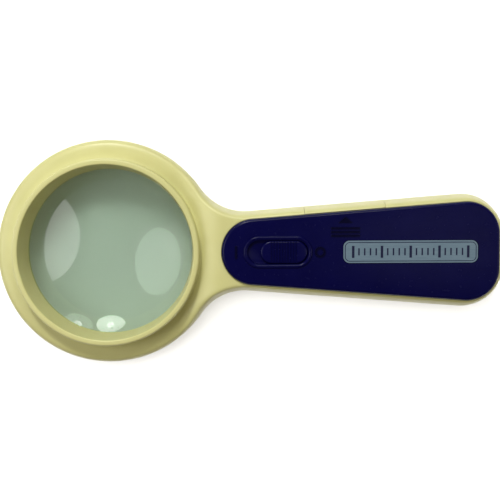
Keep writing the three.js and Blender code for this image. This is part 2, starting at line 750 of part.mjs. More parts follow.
const drawer = new THREE.Group();
magnifier.add(drawer);
add("battery_drawer", batteryDrawer(), ivory, drawer);
CELL.z.forEach((z, i) => {
  const cell = new THREE.Group();
  cell.position.set(CELL.x, CELL.y, 0);
  drawer.add(cell);
  add(`cell_${i + 1}_can`, cellCan(z), steel, cell);
  add(`cell_${i + 1}_cap`, cellCap(z), steel, cell);
  add(`cell_${i + 1}_gasket`, cellGasket(z), black, cell);
});

add("contact_negative", contactNegative(), brass);
add("contact_positive", contactPositive(), brass);
add("wire_negative", wire(negativeRoute, WIRE_RADIUS, 22), black);
add("wire_positive", wire(positiveRoute, WIRE_RADIUS, 20), red);

HOUSING_SCREWS.forEach(([x, y], i) => {
  const length = x < DECK.fromX ? 6.4 : 9;
  const mesh = add(`housing_screw_${i + 1}`, screw(2.2, 1.6, 1.15, length), steel);
  mesh.position.set(x, y, BOSS.headZ - TOUCH);
});

export default magnifier;
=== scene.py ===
"""Looks of the low vision magnifier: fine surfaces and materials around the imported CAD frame."""

import json
import math

import bmesh
import bpy
from mathutils import Matrix, Vector, geometry


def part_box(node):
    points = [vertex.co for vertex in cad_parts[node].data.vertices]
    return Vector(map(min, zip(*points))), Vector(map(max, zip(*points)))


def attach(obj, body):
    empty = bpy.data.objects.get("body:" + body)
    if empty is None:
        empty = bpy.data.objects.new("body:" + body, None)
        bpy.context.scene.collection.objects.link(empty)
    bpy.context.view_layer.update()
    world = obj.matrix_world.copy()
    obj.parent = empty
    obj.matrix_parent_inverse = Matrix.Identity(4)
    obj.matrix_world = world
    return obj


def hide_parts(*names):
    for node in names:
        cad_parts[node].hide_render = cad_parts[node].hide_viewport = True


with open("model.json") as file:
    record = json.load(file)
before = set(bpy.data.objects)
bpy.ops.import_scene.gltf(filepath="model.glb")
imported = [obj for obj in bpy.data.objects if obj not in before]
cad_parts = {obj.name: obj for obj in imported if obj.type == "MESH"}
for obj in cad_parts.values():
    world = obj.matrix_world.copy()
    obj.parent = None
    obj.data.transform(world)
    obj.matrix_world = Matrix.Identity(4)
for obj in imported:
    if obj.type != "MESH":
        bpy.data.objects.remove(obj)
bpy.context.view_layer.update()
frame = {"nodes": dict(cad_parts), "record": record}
NODES = frame["nodes"]

MM = 0.001

# ---- Dimensions in millimetres, worked out from the frame where a node gives them ----


def cad_box(node):
    low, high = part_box(node)
    return low / MM, high / MM


FRONT_LOW, FRONT_HIGH = cad_box("front_housing")
REAR_HIGH = cad_box("rear_housing")[1]
LENS_LOW, LENS_HIGH = cad_box("lens")
COVER_LOW = cad_box("handle_cover")[0]
PLATE_LOW, PLATE_HIGH = cad_box("name_plate")
KNOB_LOW, KNOB_HIGH = cad_box("switch_knob")
DRAWER_LOW = cad_box("battery_drawer")[0]
CELL_LOW, CELL_HIGH = cad_box("cell_1_can")

LENS_X = (LENS_LOW.x + LENS_HIGH.x) / 2
LENS_RADIUS = (LENS_HIGH.x - LENS_LOW.x) / 2
END_X = FRONT_HIGH.x
RING_RADIUS = END_X + LENS_X
HALF_WIDTH = 14.3
TAPER = 0.0775
NECK_RADIUS = 18.8
END_RADIUS = 14.6
TAPER_ANGLE = math.atan(TAPER)
SIDE_ANGLE = math.pi / 2 + TAPER_ANGLE

GAP = 0.15
ABOVE = 20.0
SEAM_Z = REAR_HIGH.z
PARTING_Z = SEAM_Z + GAP
RIM_TOP_Z = FRONT_HIGH.z
RING_TOP_Z = 11.4
HANDLE_TOP_Z = 15.45
RAMP_X = (-26.0, -9.0)

COLLAR_MOUTH = 30.6
COLLAR_TOP = 32.6
COLLAR_FOOT = 32.75
COLLAR_SKIRT = 32.4
COLLAR_SOCKET = 34.2
SEAT_RADIUS = 29.5
SEAT_Z = (3.95, 6.25)
EDGE_Z = (4.3, 5.9)
LENS_CURVATURE = 130.0
FOOT_FILLET = 0.4
COVE_RADIUS = RING_RADIUS - 4.0
COVE_RISE = 0.3
RIM_OUTER_ROUNDING = 0.75
RIM_INNER_ROUNDING = 0.5

WALL = 2.3
FLOOR_Z = 2.0
DECK_UNDER_Z = 12.9
DECK_TOP_Z = 14.7
DECK_FROM_X = -4.0
NECK_CEILING_Z = 9.6
ROUND_SIDES = 220
KEEP_SIDES = 96
STEM_HALF_LENGTH = 4.5
STEM_HALF_WIDTH = 1.75
BOSS_RADIUS = 3.2
RAIL_PLAY = 0.2
RAIL_THICKNESS = 1.0
RAIL_Y = (-9, 12)
LAMP_TILT = 0.14
LAMP_HOLE_RADIUS = 1.7

COVER_INSET = 2.8
COVER_END_RADIUS = 11.4
COVER_TOP_Z = 16.8
COVER_ROUNDING = 1.15
DISH_X = 9.7
DISH_LENGTH = 21.3
DISH_WIDTH = 8.4
DISH_FLOOR_Z = 15.8
BEAD_WIDTH = 1.45
BEAD_TOP_Z = 17.3
PLATE_CORNER = 2.2
PLATE_PLAY = 0.2

MARK_Z = (16.6, 17.1)
ARROW_Y = (10.2, 12.3)
ARROW_HALF_WIDTH = 2.4
BARS_Y = (5.7, 7.0, 8.3)
BAR_HALF_LENGTH = 5.0
BAR_HALF_WIDTH = 0.35
STROKE_X = (-5.3, -4.5)
STROKE_Y = (-2.2, 2.2)
ROUND_MARK_X = 24.4
ROUND_MARK_RADII = (1.1, 1.9)

KNOB_GROOVES = 10
KNOB_PITCH = 0.95
KNOB_GROOVE_DEPTH = 0.34

DRAWER_X = (19.0, 47.4)
TRAY_X = (21.1, 45.3)
TRAY_BACK_Y = DRAWER_LOW.y
TRAY_TOP_Z = 10.3
CUP_Z = 4.05
CUP_PLAY = 0.25
SPRING_HALF_WIDTH = 4.2
NAIL_HALF_LENGTH = 6.0
NAIL_Y = 16.3
NAIL_Z = (4.4, 5.6)

CAMERA_AIM_Z = FRONT_LOW.z
CAMERA_DISTANCE = 300.0
STAGE_Z = -0.1

# ---- Mesh helpers ----


def new_object(name, verts, faces):
    """A mesh object from points in millimetres, with its faces turned outwards."""
    mesh = bpy.data.meshes.new(name)
    mesh.from_pydata([Vector(v) * MM for v in verts], [], faces)
    work = bmesh.new()
    work.from_mesh(mesh)
    bmesh.ops.remove_doubles(work, verts=work.verts, dist=1e-7)
    bmesh.ops.recalc_face_normals(work, faces=work.faces)
    work.to_mesh(mesh)
    work.free()
    obj = bpy.data.objects.new(name, mesh)
    bpy.context.scene.collection.objects.link(obj)
    return obj


def smooth(obj, angle=32):
    obj.data.shade_smooth()
    obj.data.set_sharp_from_angle(angle=math.radians(angle))
    return obj


def apply_modifiers(obj):
    graph = bpy.context.evaluated_depsgraph_get()
    mesh = bpy.data.meshes.new_from_object(obj.evaluated_get(graph))
    obj.modifiers.clear()
    old = obj.data
    obj.data = mesh
    bpy.data.meshes.remove(old)


def boolean(obj, operation, *others):
    """Cuts the others from obj, or joins them to it, or keeps what it shares with them."""
    for other in others:
        modifier = obj.modifiers.new("boolean", "BOOLEAN")
        modifier.operation = operation
        modifier.solver = "MANIFOLD"
        modifier.object = other
    apply_modifiers(obj)
    for other in others:
        bpy.data.objects.remove(other)
    return obj


def copy_of(obj):
    other = obj.copy()
    other.data = obj.data.copy()
    bpy.context.scene.collection.objects.link(other)
    return other


def side_faces(count, layers):
    """The faces between rings of that many points each, and the flat end on the first ring."""
    faces = []
    for layer in range(layers - 1):
        for i in range(count):
            a = layer * count + i
            b = layer * count + (i + 1) % count
            faces.append((a, b, b + count, a + count))
    faces.append(tuple(range(count)))
    return faces


def loft(name, rings):
    """The closed body through rings of equally many points, with flat ends."""
    count = len(rings[0])
    verts = [v for ring in rings for v in ring]
    faces = side_faces(count, len(rings))
    faces.append(tuple(range((len(rings) - 1) * count, len(rings) * count)))
    return new_object(name, verts, faces)


def prism(name, outline, z0, z1):
    return loft(name, [[(x, y, z0) for x, y in outline], [(x, y, z1) for x, y in outline]])


def block(name, x, y, z):
    outline = [(x[0], y[0]), (x[1], y[0]), (x[1], y[1]), (x[0], y[1])]
    return prism(name, outline, *z)


def turned(name, profile, sides, centre=(0, 0), matrix=None):
    """A round body about +Z from closed [radius, z] points, which may start and end on the axis."""
    verts = []
    for i in range(sides):
        turn = 2 * math.pi * i / sides
        for r, z in profile:
            verts.append((centre[0] + r * math.cos(turn), centre[1] + r * math.sin(turn), z))
    count = len(profile)
    faces = []
    for i in range(sides):
        for k in range(count):
            if profile[k][0] == 0 and profile[(k + 1) % count][0] == 0:
                continue
            a = i * count
            b = (i + 1) % sides * count
            k2 = (k + 1) % count
            faces.append((a + k, b + k, b + k2, a + k2))
    if matrix is not None:
        verts = [matrix @ Vector(v) for v in verts]
    return new_object(name, verts, faces)


def cylinder(name, radius, z0, z1, x, y, sides):
    profile = [(0, z0), (radius, z0), (radius, z1), (0, z1)]
    return turned(name, profile, sides, (x, y))


def curve_through(points, steps):
    """Points along the smooth curve through the given ones."""
    found = []
    for i in range(len(points) - 1):
        p1 = Vector(points[i])
        p2 = Vector(points[i + 1])
        p0 = Vector(points[i - 1]) if i else 2 * p1 - p2
        p3 = Vector(points[i + 2]) if i + 2 < len(points) else 2 * p2 - p1
        for k in range(steps):
            u = k / steps
            found.append(
                0.5
                * (
                    2 * p1
                    + (p2 - p0) * u
                    + (2 * p0 - 5 * p1 + 4 * p2 - p3) * u**2
                    + (3 * p1 - p0 - 3 * p2 + p3) * u**3
                )
            )
    found.append(Vector(points[-1]))
    return found


# ---- Outlines. Each point comes with its outward direction, so that it can be moved inwards. ----


def arc(centre, radius, start, end, steps, outward=1):
    points = []
    for i in range(steps + 1):
        turn = start + (end - start) * i / steps
        way = Vector((math.cos(turn), math.sin(turn)))
        points.append((Vector(centre) + radius * way, way * outward))
    return points


def mirrored(half):
    other = [(Vector((p.x, -p.y)), Vector((n.x, -n.y))) for p, n in reversed(half[:-1])]
    return half + other


def corner_centre(half_width, end_x, radius):
    x = end_x - radius
    return Vector((x, half_width + TAPER * x - radius / math.cos(TAPER_ANGLE)))


def neck_centre():
    along = Vector((math.cos(TAPER_ANGLE), math.sin(TAPER_ANGLE)))
    sideways = Vector((math.cos(SIDE_ANGLE), math.sin(SIDE_ANGLE)))
    foot = sideways * (HALF_WIDTH * along.x + NECK_RADIUS)
    from_ring = foot - Vector((LENS_X, 0))
    b = from_ring.dot(along)
    c = from_ring.length_squared - (RING_RADIUS + NECK_RADIUS) ** 2
    return foot + along * (-b + math.sqrt(b * b - c))


def straight(a, b, steps):
    """The inner points of a straight stretch between two outline points with one direction."""
    return [(a[0].lerp(b[0], i / steps), a[1]) for i in range(1, steps)]


def body_outline():
    neck = neck_centre()
    ring = Vector((LENS_X, 0))
    neck_angle = math.atan2(neck.y, neck.x - LENS_X)
    corner = arc(corner_centre(HALF_WIDTH, END_X, END_RADIUS), END_RADIUS, 0, SIDE_ANGLE, 24)
    fillet = arc(neck, NECK_RADIUS, SIDE_ANGLE + math.pi, neck_angle + math.pi, 28, outward=-1)
    side = straight(corner[-1], fillet[0], 12)
    around = arc(ring, RING_RADIUS, neck_angle, math.pi, 110)
    return mirrored(corner + side + fillet + around[1:])


BODY = body_outline()


def inset_body(inset):
    return [tuple(p - n * inset) for p, n in BODY]


def cover_outline(inset):
    half_width = HALF_WIDTH - COVER_INSET / math.cos(TAPER_ANGLE)
    centre = corner_centre(half_width, END_X - COVER_INSET, COVER_END_RADIUS)
    cos = math.cos(TAPER_ANGLE)
    left_radius = (half_width + TAPER * COVER_LOW.x) * cos / (1 - TAPER * cos)
    corner = arc(centre, COVER_END_RADIUS, 0, SIDE_ANGLE, 20)
    left = arc((COVER_LOW.x + left_radius, 0), left_radius, SIDE_ANGLE, math.pi, 44)
    return [tuple(p - n * inset) for p, n in mirrored(corner + left)]


def stadium(x, length, width, steps=24):
    right = arc((x + (length - width) / 2, 0), width / 2, -math.pi / 2, math.pi / 2, steps)
    points = [tuple(p) for p, _ in right]
    return points + [(2 * x - px, -py) for px, py in points]


def rounded_rectangle(x, length, width, radius, steps=8):
    corner = arc((x + length / 2 - radius, width / 2 - radius), radius, 0, math.pi / 2, steps)
    right = [tuple(p) for p, _ in corner]
    upper = right + [(2 * x - px, py) for px, py in reversed(right)]
    return upper + [(px, -py) for px, py in reversed(upper)]


# ---- Housings ----

# Each edge is a run of [inset from the outline, height] points.
RING_EDGE = [
    (0, PARTING_Z),
    (0.1, 9.2),
    (0.5, 10.2),
    (1.2, 10.9),
    (2.1, 11.2),
    (3.0, 11.33),
    (4.0, RING_TOP_Z),
]
HANDLE_EDGE = [
    (0, PARTING_Z),
    (0.4, 10.5),
    (0.85, 12.5),
    (1.4, 14.1),
    (2.0, 15.05),
    (2.7, 15.38),
    (3.4, HANDLE_TOP_Z),
]
REAR_EDGE = [
    (3.6, 0),
    (2.9, 0.12),
    (2.2, 0.45),
    (1.5, 1.15),
    (0.95, 2.2),
    (0.5, 3.9),
    (0.15, 6.2),
    (0, SEAM_Z),
]
EDGE_STEPS = 3


def ramp(x):
    """0 on the ring, 1 on the handle, and a smooth rise across the neck between them."""
    u = min(max((x - RAMP_X[0]) / (RAMP_X[1] - RAMP_X[0]), 0), 1)
    return u * u * (3 - 2 * u)


def foot_rise(x, y):
    """How much the cove around the collar and the fillet at its foot lift the surface."""
    radius = math.hypot(x - LENS_X, y)
    climb = min(max((COVE_RADIUS - radius) / (COVE_RADIUS - COLLAR_FOOT), 0), 1)
    over = min(max(COLLAR_FOOT + FOOT_FILLET - radius, 0), FOOT_FILLET)
    return COVE_RISE * climb**2 + FOOT_FILLET - math.sqrt(FOOT_FILLET**2 - over**2)


def shell_height(x, y):
    return RING_TOP_Z + ramp(x) * (HANDLE_TOP_Z - RING_TOP_Z) + foot_rise(x, y)


def front_rings():
    ring_edge = curve_through(RING_EDGE, EDGE_STEPS)
    handle_edge = curve_through(HANDLE_EDGE, EDGE_STEPS)
    rings = []
    for on_ring, on_handle in zip(ring_edge, handle_edge):
        ring = []
        for p, n in BODY:
            q = p - n * on_ring.lerp(on_handle, ramp(p.x)).x
            ring.append((q.x, q.y, on_ring.lerp(on_handle, ramp(q.x)).y))
        rings.append(ring)
    return rings


def cap_points():
    """Points inside the front surface: circles around the collar's foot and a grid on the neck."""
    points = []
    fillet = [COLLAR_FOOT - 0.4 + (FOOT_FILLET + 0.4) * step / 9 for step in range(10)]
    cove = [fillet[-1] + (COVE_RADIUS - 0.25 - fillet[-1]) * step / 5 for step in range(1, 6)]
    for radius in fillet + cove:
        points += [p for p, _ in arc((LENS_X, 0), radius, 0, 2 * math.pi, ROUND_SIDES)[:-1]]
    for i in range(18):
        for k in range(-20, 21):
            p = Vector((RAMP_X[0] + 1.0 * i, 1.0 * k))
            if math.hypot(p.x - LENS_X, p.y) > COVE_RADIUS + 0.3:
                points.append(p)
    return points


def front_solid(name):
    rings = front_rings()
    rim = [Vector(v[:2]) for v in rings[-1]]
    inner = [p for p in cap_points() if inside(p, rim, 0.25)]
    boundary = list(range(len(rim)))
    flat = geometry.delaunay_2d_cdt(rim + inner, [], [boundary], 1, 1e-6)
    cap_verts = [(p.x, p.y, shell_height(p.x, p.y)) for p in flat[0]]
    verts = [v for ring in rings for v in ring]
    faces = side_faces(len(rim), len(rings))
    start = len(verts)
    faces += [tuple(start + i for i in face) for face in flat[2]]
    return new_object(name, verts + cap_verts, faces)


def inside(point, polygon, margin):
    """Whether the point is in the polygon and at least the margin away from its corners."""
    crossings = 0
    for i, a in enumerate(polygon):
        b = polygon[i - 1]
        if (a - point).length < margin:
            return False
        if (a.y > point.y) != (b.y > point.y):
            if point.x < a.x + (b.x - a.x) * (point.y - a.y) / (b.y - a.y):
                crossings += 1
    return crossings % 2 == 1


def collar_profile():
    bottom = EDGE_Z[1] + GAP
    wall = [(SEAT_RADIUS, SEAT_Z[1]), (LENS_RADIUS, bottom), (COLLAR_SKIRT + 0.01, bottom)]
    foot = [(COLLAR_SKIRT + 0.01, RING_TOP_Z - 0.4), (COLLAR_FOOT - 0.02, RING_TOP_Z - 0.4)]
    outer = [(COLLAR_FOOT - 0.02, RING_TOP_Z + COVE_RISE + FOOT_FILLET), (COLLAR_TOP + 0.1, RIM_TOP_Z - 1.2)]
    rim = rounding(COLLAR_TOP + 0.05, RIM_OUTER_ROUNDING, 0)
    rim += rounding(COLLAR_MOUTH, RIM_INNER_ROUNDING, math.pi / 2)
    inner = [(COLLAR_MOUTH - 0.08, RIM_TOP_Z - 1.6)]
    return wall + foot + outer + rim + inner


def rounding(edge, radius, start):
    """The quarter round at the rim's outer edge, from 0, or at its inner edge, from pi / 2."""
    centre = Vector((edge - radius if start == 0 else edge + radius, RIM_TOP_Z - radius))
    return [tuple(p) for p, _ in arc(centre, radius, start, start + math.pi / 2, 8)]


def drawer_band(name, outer, inner, margin, z0, z1):
    """The strip of side wall that the drawer's face takes up."""
    band = prism(name, inset_body(outer), z0, z1)
    boolean(band, "DIFFERENCE", prism("inner", inset_body(inner), z0 - 1, z1 + 1))
    x = (DRAWER_X[0] + margin, DRAWER_X[1] - margin)
    limits = block("limits", x, (0, RING_RADIUS), (z0 - 1, z1 + 1))
    return boolean(band, "INTERSECT", limits)


def stem_slot():
    """The way through the cover and the housing for the switch's lever."""
    x = (DISH_X - STEM_HALF_LENGTH, DISH_X + STEM_HALF_LENGTH)
    return block("slot", x, (-STEM_HALF_WIDTH, STEM_HALF_WIDTH), (10, ABOVE))


def front_housing(solid):
    low = PARTING_Z - 0.1
    boolean(solid, "DIFFERENCE", cylinder("bore", COLLAR_SKIRT, 0, ABOVE, LENS_X, 0, ROUND_SIDES))
    boolean(solid, "UNION", turned("collar", collar_profile(), ROUND_SIDES, (LENS_X, 0)))
    shallow = prism("shallow", inset_body(WALL), low, NECK_CEILING_Z)
    boolean(shallow, "DIFFERENCE", cylinder("keep", COLLAR_SOCKET, 0, ABOVE, LENS_X, 0, KEEP_SIDES))
    deep = prism("deep", inset_body(WALL + 0.1), low, DECK_UNDER_Z)
    boolean(deep, "INTERSECT", block("part", (DECK_FROM_X, END_X), (-RING_RADIUS, RING_RADIUS), (0, ABOVE)))
    recess = prism("recess", cover_outline(-GAP), DECK_TOP_Z, ABOVE)
    slot = stem_slot()
    opening = drawer_band("opening", -1, COVER_INSET - 0.1, 0, low, ABOVE)
    boolean(solid, "DIFFERENCE", recess, shallow, deep, slot, opening)
    return solid


def rear_solid(name, top=SEAM_Z):
    edge = curve_through(REAR_EDGE, EDGE_STEPS)
    edge[-1].y = top
    return loft(name, [[(*(p - n * inset), z) for p, n in BODY] for inset, z in edge])


def lamp_matrix(lamp):
    """A lamp's own frame in millimetres: its middle, with +Z towards the lens and a little down."""
    low, high = cad_box(lamp)
    middle = (low + high) / 2
    towards = Vector((LENS_X, 0, middle.z)) - middle
    towards.normalize()
    towards.z = -LAMP_TILT
    turn = towards.to_track_quat("Z", "Y").to_matrix().to_4x4()
    return Matrix.Translation(middle) @ turn


def screw_boss(screw):
    """The boss around a housing screw, and the counterbored hole through it."""
    low, high = cad_box(screw)
    place = ((low.x + high.x) / 2, (low.y + high.y) / 2)
    boss = [(0, 0.4), (BOSS_RADIUS, 0.4), (BOSS_RADIUS, SEAM_Z), (0, SEAM_Z)]
    hole = [
        (0, -1),
        (3.0, -1),
        (2.75, 0.05),
        (2.5, 0.3),
        (2.5, 4),
        (1.5, 4),
        (1.5, ABOVE),
        (0, ABOVE),
    ]
    return turned("boss", boss, 32, place), turned("hole", hole, 40, place)


def rear_housing(solid):
    high = PARTING_Z + 0.1
    cavity_edge = [(3.5, FLOOR_Z), (2.8, 3.9), (WALL, 6), (WALL, high)]
    cavity = loft("cavity", [[(*(p - n * inset), z) for p, n in BODY] for inset, z in cavity_edge])
    boolean(cavity, "DIFFERENCE", cylinder("keep", COLLAR_SOCKET, 0, ABOVE, LENS_X, 0, KEEP_SIDES))
    edge_radius = LENS_RADIUS + 0.35
    bore = [
        (0, -0.2),
        (COLLAR_MOUTH + 0.9, -0.2),
        (COLLAR_MOUTH + 0.45, 0.1),
        (COLLAR_MOUTH + 0.1, 0.5),
        (COLLAR_MOUTH - 0.2, 1.2),
        (SEAT_RADIUS, SEAT_Z[0]),
        (edge_radius, EDGE_Z[0]),
        (edge_radius, EDGE_Z[1]),
        (COLLAR_SKIRT + GAP, EDGE_Z[1]),
        (COLLAR_SKIRT + GAP, ABOVE),
        (0, ABOVE),
    ]
    cuts = [cavity, turned("bore", bore, ROUND_SIDES, (LENS_X, 0))]
    screws = [screw_boss(f"housing_screw_{i}") for i in range(1, 5)]
    boolean(solid, "DIFFERENCE", *cuts)
    boolean(solid, "UNION", *[boss for boss, _ in screws])
    boolean(solid, "DIFFERENCE", *[hole for _, hole in screws])
    near = TRAY_X[0] - RAIL_PLAY
    far = TRAY_X[1] + RAIL_PLAY
    rail_z = (FLOOR_Z - 0.1, SEAM_Z - 0.05)
    rails = [(near - RAIL_THICKNESS, near), (far, far + RAIL_THICKNESS)]
    boolean(solid, "UNION", *[block("rail", x, RAIL_Y, rail_z) for x in rails])
    holes = []
    for lamp in ("lamp_1", "lamp_2"):
        profile = [(0, -2.3), (LAMP_HOLE_RADIUS, -2.3), (LAMP_HOLE_RADIUS, 7), (0, 7)]
        holes.append(turned("hole", profile, 32, matrix=lamp_matrix(lamp)))
    opening = drawer_band("opening", -1, 4, 0, DRAWER_LOW.z - GAP, high)
    boolean(solid, "DIFFERENCE", *holes, opening)
    return solid


def battery_drawer(front, rear):
    """The drawer's face is cut from the same curved shell as the housings around it."""
    band = drawer_band("battery_drawer_shell", -1, WALL, GAP, DRAWER_LOW.z, ABOVE)
    lip = drawer_band("lip", -1, COVER_INSET - 0.25, GAP, DECK_UNDER_Z, ABOVE)
    boolean(band, "UNION", lip)
    boolean(front, "UNION", rear)
    boolean(band, "INTERSECT", front)
    tray = block("tray", TRAY_X, (TRAY_BACK_Y, RING_RADIUS), (DRAWER_LOW.z, TRAY_TOP_Z))
    boolean(tray, "INTERSECT", prism("inner", inset_body(1.4), 0, ABOVE))
    cell = (CELL_LOW + CELL_HIGH) / 2
    radius = (CELL_HIGH.x - CELL_LOW.x) / 2
    cup = cylinder("cup", radius + CUP_PLAY, CUP_Z, ABOVE, cell.x, cell.y, KEEP_SIDES)
    spring_x = (cell.x - SPRING_HALF_WIDTH, cell.x + SPRING_HALF_WIDTH)
    spring = block("spring", spring_x, (TRAY_BACK_Y - 1, 8.5), (0, CUP_Z + CUP_PLAY))
    boolean(tray, "DIFFERENCE", cup, spring)
    boolean(band, "UNION", tray)
    nail_x = (cell.x - NAIL_HALF_LENGTH, cell.x + NAIL_HALF_LENGTH)
    groove = block("groove", nail_x, (NAIL_Y, RING_RADIUS), NAIL_Z)
    return boolean(band, "DIFFERENCE", groove)


# ---- Cover, plate, knob and lens ----


def plate_outline(inset):
    x = (PLATE_LOW.x + PLATE_HIGH.x) / 2
    length = PLATE_HIGH.x - PLATE_LOW.x - 2 * inset
    width = PLATE_HIGH.y - PLATE_LOW.y - 2 * inset
    return rounded_rectangle(x, length, width, PLATE_CORNER - inset)


def handle_cover():
    edge = [Vector((0, DECK_TOP_Z + 0.05))]
    for step in range(9):
        turn = math.pi / 2 * step / 8
        step_in = Vector((1 - math.cos(turn), math.sin(turn) - 1))
        edge.append(step_in * COVER_ROUNDING + Vector((0, COVER_TOP_Z)))
    rings = [[(x, y, z) for x, y in cover_outline(inset)] for inset, z in edge]
    cover = loft("handle_cover_shell", rings)
    bead_edge = [
        (0, 16.0),
        (0, 16.78),
        (0.06, 16.95),
        (0.28, 17.2),
        (0.62, BEAD_TOP_Z),
        (1.0, 17.24),
        (1.3, 17.0),
    ]
    bead = []
    for inset, z in curve_through(bead_edge, EDGE_STEPS):
        grow = 2 * (BEAD_WIDTH - inset)
        bead.append([(x, y, z) for x, y in stadium(DISH_X, DISH_LENGTH + grow, DISH_WIDTH + grow)])
    boolean(cover, "UNION", loft("bead", bead))
    dish_edge = [(0, ABOVE), (0, 17), (0.05, 16.3), (0.25, 15.95), (0.7, DISH_FLOOR_Z)]
    dish = []
    for inset, z in dish_edge:
        outline = stadium(DISH_X, DISH_LENGTH - 2 * inset, DISH_WIDTH - 2 * inset)
        dish.append([(x, y, z) for x, y in outline])
    recess = prism("recess", plate_outline(-PLATE_PLAY), PLATE_LOW.z - 0.05, ABOVE)
    slot = stem_slot()
    return boolean(cover, "DIFFERENCE", loft("dish", dish), recess, slot)


def cover_marks():
    """An arrow over three bars beside the drawer, and the two marks beside the switch."""
    middle = (DRAWER_X[0] + DRAWER_X[1]) / 2
    foot, tip = ARROW_Y
    corners = [(middle - ARROW_HALF_WIDTH, foot), (middle + ARROW_HALF_WIDTH, foot), (middle, tip)]
    arrow = prism("cover_marks", corners, *MARK_Z)
    bar_x = (middle - BAR_HALF_LENGTH, middle + BAR_HALF_LENGTH)
    bars = [block("bar", bar_x, (y - BAR_HALF_WIDTH, y + BAR_HALF_WIDTH), MARK_Z) for y in BARS_Y]
    stroke = block("stroke", STROKE_X, STROKE_Y, MARK_Z)
    inner, outer = ROUND_MARK_RADII
    low, high = MARK_Z
    profile = [(inner, low), (outer, low), (outer, high), (inner, high)]
    round_mark = turned("round", profile, 40, (ROUND_MARK_X, 0))
    return boolean(arrow, "UNION", *bars, stroke, round_mark)


def name_plate():
    edge = [(0, PLATE_LOW.z), (0, PLATE_HIGH.z - 0.06), (0.06, PLATE_HIGH.z)]
    rings = [[(x, y, z) for x, y in plate_outline(inset)] for inset, z in edge]
    return loft("name_plate_foil", rings)


def switch_knob():
    middle = (KNOB_LOW + KNOB_HIGH) / 2
    length = KNOB_HIGH.x - KNOB_LOW.x
    width = KNOB_HIGH.y - KNOB_LOW.y
    top = KNOB_HIGH.z
    profile = [(0, KNOB_LOW.z), (0, 16.2), (0.02, 16.7), (0.2, 17.02), (0.55, 17.2), (1.0, top)]
    edge = curve_through(profile, EDGE_STEPS)
    rings = [
        [(x, y, z) for x, y in stadium(middle.x, length - 2 * inset, width - 2 * inset)]
        for inset, z in edge
    ]
    knob = loft("switch_knob_cap", rings)
    cuts = [block("socket", (middle.x - 2.1, middle.x + 2.1), (-1.5, 1.5), (0, 16.7))]
    bottom = top - KNOB_GROOVE_DEPTH
    for i in range(KNOB_GROOVES):
        x = middle.x + (i - (KNOB_GROOVES - 1) / 2) * KNOB_PITCH
        outline = [(x - 0.3, top + 0.1), (x + 0.3, top + 0.1), (x + 0.12, bottom), (x - 0.12, bottom)]
        verts = [(px, y, z) for y in (-width, width) for px, z in outline]
        sides = [(k, (k + 1) % 4, (k + 1) % 4 + 4, k + 4) for k in range(4)]
        cuts.append(new_object("groove", verts, sides + [(0, 1, 2, 3), (4, 5, 6, 7)]))
    return boolean(knob, "DIFFERENCE", *cuts)


def lens_body():
    steps = 28
    z0, z1 = EDGE_Z
    edge_sag = math.sqrt(LENS_CURVATURE**2 - LENS_RADIUS**2) - LENS_CURVATURE
    radii = [LENS_RADIUS * i / steps for i in range(steps + 1)]
    sags = [math.sqrt(LENS_CURVATURE**2 - r * r) - LENS_CURVATURE for r in radii]
    rear = [(r, z0 + edge_sag - sag) for r, sag in zip(radii, sags)]
    front = [(r, z1 - edge_sag + sag) for r, sag in zip(radii, sags)]
    return turned("lens_glass", rear + front[::-1], 192, (LENS_X, 0))


# ---- Materials ----


class Nodes:
    """A material's node tree, with short calls for the nodes used here."""

    def __init__(self, name):
        self.material = bpy.data.materials.new(name)
        self.material.use_nodes = True
        self.tree = self.material.node_tree
        self.shader = self.tree.nodes["Principled BSDF"]
        coordinates = self.tree.nodes.new("ShaderNodeTexCoord")
        self.place = coordinates.outputs["Object"]

    def set(self, **values):
        for key, value in values.items():
            self.shader.inputs[key.replace("_", " ")].default_value = value
        return self

    def add(self, kind, links=(), **settings):
        node = self.tree.nodes.new(kind)
        for key, value in settings.items():
            setattr(node, key, value)
        for key, source in dict(links).items():
            if hasattr(source, "is_output"):
                self.tree.links.new(source, node.inputs[key])
            else:
                node.inputs[key].default_value = source
        return node

    def stretched(self, scale):
        return self.add("ShaderNodeMapping", {"Vector": self.place, "Scale": scale}).outputs[0]

    def noise(self, scale, detail=4.0, roughness=0.5, place=None):
        links = {"Vector": place or self.place, "Scale": scale, "Detail": detail, "Roughness": roughness}
        return self.add("ShaderNodeTexNoise", links).outputs[0]

    def range(self, value, low, high, from_low=0.3, from_high=0.7):
        links = {"Value": value, "From Min": from_low, "From Max": from_high, "To Min": low, "To Max": high}
        return self.add("ShaderNodeMapRange", links).outputs[0]

    def math(self, operation, *values, clamp=False):
        node = self.tree.nodes.new("ShaderNodeMath")
        node.operation = operation
        node.use_clamp = clamp
        for i, value in enumerate(values):
            if hasattr(value, "is_output"):
                self.tree.links.new(value, node.inputs[i])
            else:
                node.inputs[i].default_value = value
        return node.outputs[0]

    def mix(self, factor, a, b):
        node = self.tree.nodes.new("ShaderNodeMix")
        node.data_type = "RGBA"
        for socket, value in ((node.inputs[0], factor), (node.inputs[6], a), (node.inputs[7], b)):
            if hasattr(value, "is_output"):
                self.tree.links.new(value, socket)
            else:
                socket.default_value = value
        return node.outputs[2]

    def link(self, value, name):
        self.tree.links.new(value, self.shader.inputs[name])
        return self

    def bump(self, *layers):
        """Stacks [height, distance in millimetres, strength] layers of relief."""
        normal = None
        for height, distance, strength in layers:
            links = {"Height": height, "Distance": distance * MM, "Strength": strength}
            if normal is not None:
                links["Normal"] = normal
            normal = self.add("ShaderNodeBump", links).outputs[0]
        self.tree.links.new(normal, self.shader.inputs["Normal"])
        return self


